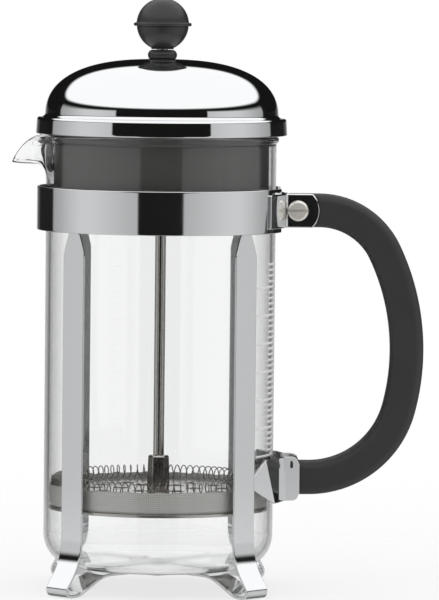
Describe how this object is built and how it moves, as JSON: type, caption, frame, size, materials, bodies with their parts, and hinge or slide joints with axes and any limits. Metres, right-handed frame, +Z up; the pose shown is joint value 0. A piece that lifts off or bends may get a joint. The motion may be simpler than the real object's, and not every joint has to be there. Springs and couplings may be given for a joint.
{
  "type": "press coffee maker",
  "caption": "Press-style coffee maker: glass beaker in a chromed cradle with a side handle, domed lid, and a plunger with a mesh filter.",
  "frame": {"origin": "on the table, under the middle of the whole object's bounding box; the beaker's axis stands at x = -24.123 mm, y = 0", "axes": "+Z up along the beaker's axis, +X from the beaker to the handle, -X to the spout, +Y to the back"},
  "size_m": [0.1732, 0.1054, 0.2476],
  "materials": {
    "beaker_glass": "clear polished borosilicate glass",
    "cradle_chrome": "polished chrome plate",
    "screw_chrome": "plated, lightly brushed",
    "lid_chrome": "mirror-polished chrome plate",
    "grip_plastic": "fine matte charcoal",
    "liner_plastic": "satin dark grey",
    "knob_plastic": "satin black",
    "insert_brass": "turned brass",
    "rod_steel": "polished stainless",
    "filter_steel": "stamped stainless",
    "spring_steel": "drawn stainless wire",
    "mesh_steel": "woven stainless mesh"
  },
  "bodies": {
    "cradle": {"top_band": "cradle_chrome", "clamp_lug_front": "cradle_chrome", "clamp_lug_back": "cradle_chrome", "cradle_strap_upper": "cradle_chrome", "cradle_strap_lower": "cradle_chrome", "base_rivet": "cradle_chrome", "handle": "grip_plastic", "clamp_screw": "screw_chrome", "clamp_nut": "screw_chrome"},
    "beaker": {"glass_beaker": "beaker_glass"},
    "lid": {"lid_dome": "lid_chrome", "lid_liner": "liner_plastic", "lid_bush": "knob_plastic"},
    "plunger": {"knob_cap": "knob_plastic", "knob_base": "knob_plastic", "knob_insert": "insert_brass", "plunger_rod": "rod_steel", "rod_hub": "rod_steel", "spiral_plate": "filter_steel", "edge_spring": "spring_steel", "filter_mesh": "mesh_steel", "cross_plate": "filter_steel"}
  },
  "joints": [
    {"name": "beaker_lift", "type": "slide", "parent": "cradle", "child": "beaker", "axis": [0, 0, 1], "range_m": [0, 0.165]},
    {"name": "lid_lift", "type": "slide", "parent": "beaker", "child": "lid", "axis": [0, 0, 1], "range_m": [0, 0.165]},
    {"name": "plunger_slide", "type": "slide", "parent": "lid", "child": "plunger", "axis": [0, 0, 1], "range_m": [0, 0.1]}
  ]
}
